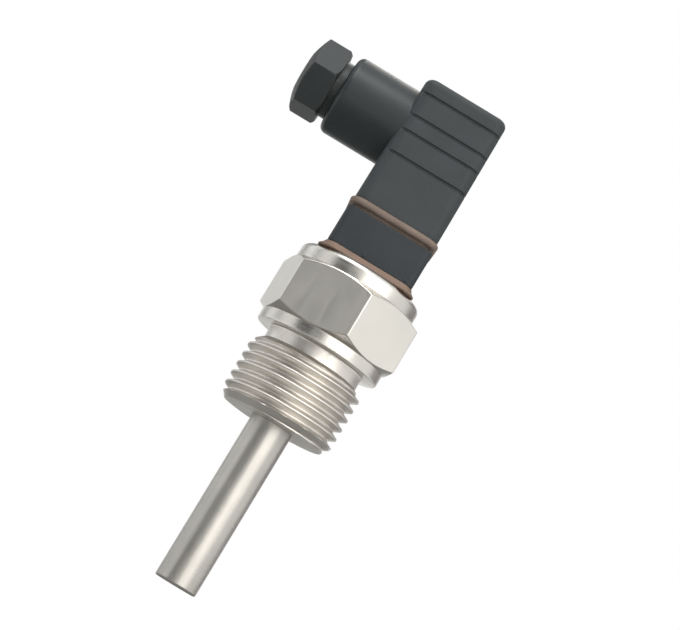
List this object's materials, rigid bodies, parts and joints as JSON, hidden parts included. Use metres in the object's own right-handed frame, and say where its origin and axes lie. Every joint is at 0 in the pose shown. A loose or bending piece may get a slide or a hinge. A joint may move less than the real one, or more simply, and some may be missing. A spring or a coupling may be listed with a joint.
{
  "type": "screw-in resistance temperature sensor with plug connector head",
  "caption": "Screw-in temperature probe: closed steel tube and hexagon pipe-thread fitting under a square appliance connector with a right-angle cable plug.",
  "frame": {"origin": "centre of the sealing face under the fitting's lower collar", "axes": "+Z along the protection tube's axis towards the plug, -X along the cable outlet"},
  "size_m": [0.0396, 0.0258, 0.0939],
  "materials": {
    "tube_steel": "satin drawn stainless steel",
    "fitting_steel": "fine-turned stainless steel",
    "base_rubber": "matte",
    "seal_rubber": "matte",
    "black_rubber": "matte",
    "base_plastic": "satin moulded glass-filled plastic",
    "housing_plastic": "satin moulded plastic",
    "gland_plastic": "satin moulded plastic",
    "block_plastic": "matte moulded plastic",
    "brass": "plain",
    "tinned_brass": "dull tin plating",
    "zinc_screw": "bright zinc plating",
    "ceramic": "unglazed ceramic",
    "heat_paste": "set paste",
    "lead_insulation": "plain",
    "potting_resin": "plain"
  },
  "bodies": {
    "root": {"protection_tube": "tube_steel", "sensor_element": "ceramic", "heat_paste": "heat_paste", "insulating_sleeve": "ceramic", "lead_wire_1": "lead_insulation", "lead_wire_2": "lead_insulation", "lead_wire_3": "lead_insulation", "potting": "potting_resin", "process_fitting": "fitting_steel", "base_seal": "base_rubber", "connector_base": "base_plastic", "threaded_bush": "brass", "pin_1": "tinned_brass", "pin_2": "tinned_brass", "pin_3": "tinned_brass", "pin_earth": "tinned_brass", "profile_seal": "seal_rubber"},
    "contact_block": {"contact_block": "block_plastic", "socket_1": "brass", "socket_2": "brass", "socket_3": "brass", "socket_earth": "brass"},
    "terminal_screw_1": {"terminal_screw_1": "zinc_screw"},
    "terminal_screw_2": {"terminal_screw_2": "zinc_screw"},
    "terminal_screw_3": {"terminal_screw_3": "zinc_screw"},
    "terminal_screw_earth": {"terminal_screw_earth": "zinc_screw"},
    "plug_housing": {"plug_housing": "housing_plastic", "gland_seal": "black_rubber"},
    "screw_seal": {"screw_seal": "black_rubber"},
    "fixing_screw": {"fixing_screw": "zinc_screw"},
    "gland_washer": {"gland_washer": "block_plastic"},
    "gland_screw": {"gland_screw": "gland_plastic"}
  },
  "joints": [
    {"name": "plug_pull", "type": "slide", "parent": "root", "child": "contact_block", "axis": [0, 0, 1], "range_m": [0, 0.012]},
    {"name": "housing_lift", "type": "slide", "parent": "contact_block", "child": "plug_housing", "axis": [0, 0, 1], "range_m": [0, 0.018]},
    {"name": "fixing_screw_rise", "type": "slide", "parent": "plug_housing", "child": "screw_seal", "axis": [0, 0, 1], "range_m": [0, 0.0036]},
    {"name": "fixing_screw_turn", "type": "hinge", "parent": "screw_seal", "child": "fixing_screw", "pos_m": [0, 0, 0.0484], "axis": [0, 0, 1], "range_deg": [0, 2880]},
    {"name": "gland_back_off", "type": "slide", "parent": "plug_housing", "child": "gland_washer", "axis": [-1, 0, 0], "range_m": [0, 0.005]},
    {"name": "gland_screw_turn", "type": "hinge", "parent": "gland_washer", "child": "gland_screw", "pos_m": [-0.022, 0, 0.0401], "axis": [-1, 0, 0], "range_deg": [0, 1440]},
    {"name": "terminal_1_turn", "type": "hinge", "parent": "contact_block", "child": "terminal_screw_1", "pos_m": [0, 0.004, 0.038], "axis": [0, 0, 1], "range_deg": [0, 720]},
    {"name": "terminal_2_turn", "type": "hinge", "parent": "contact_block", "child": "terminal_screw_2", "pos_m": [0, -0.004, 0.038], "axis": [0, 0, 1], "range_deg": [0, 720]},
    {"name": "terminal_3_turn", "type": "hinge", "parent": "contact_block", "child": "terminal_screw_3", "pos_m": [0.004, 0, 0.038], "axis": [0, 0, 1], "range_deg": [0, 720]},
    {"name": "terminal_earth_turn", "type": "hinge", "parent": "contact_block", "child": "terminal_screw_earth", "pos_m": [-0.004, 0, 0.038], "axis": [0, 0, 1], "range_deg": [0, 720]}
  ],
  "couplings": [
    {"joint": "fixing_screw_turn", "follows": "fixing_screw_rise", "rad_per_m": 13961},
    {"joint": "gland_screw_turn", "follows": "gland_back_off", "rad_per_m": 5026.1}
  ]
}
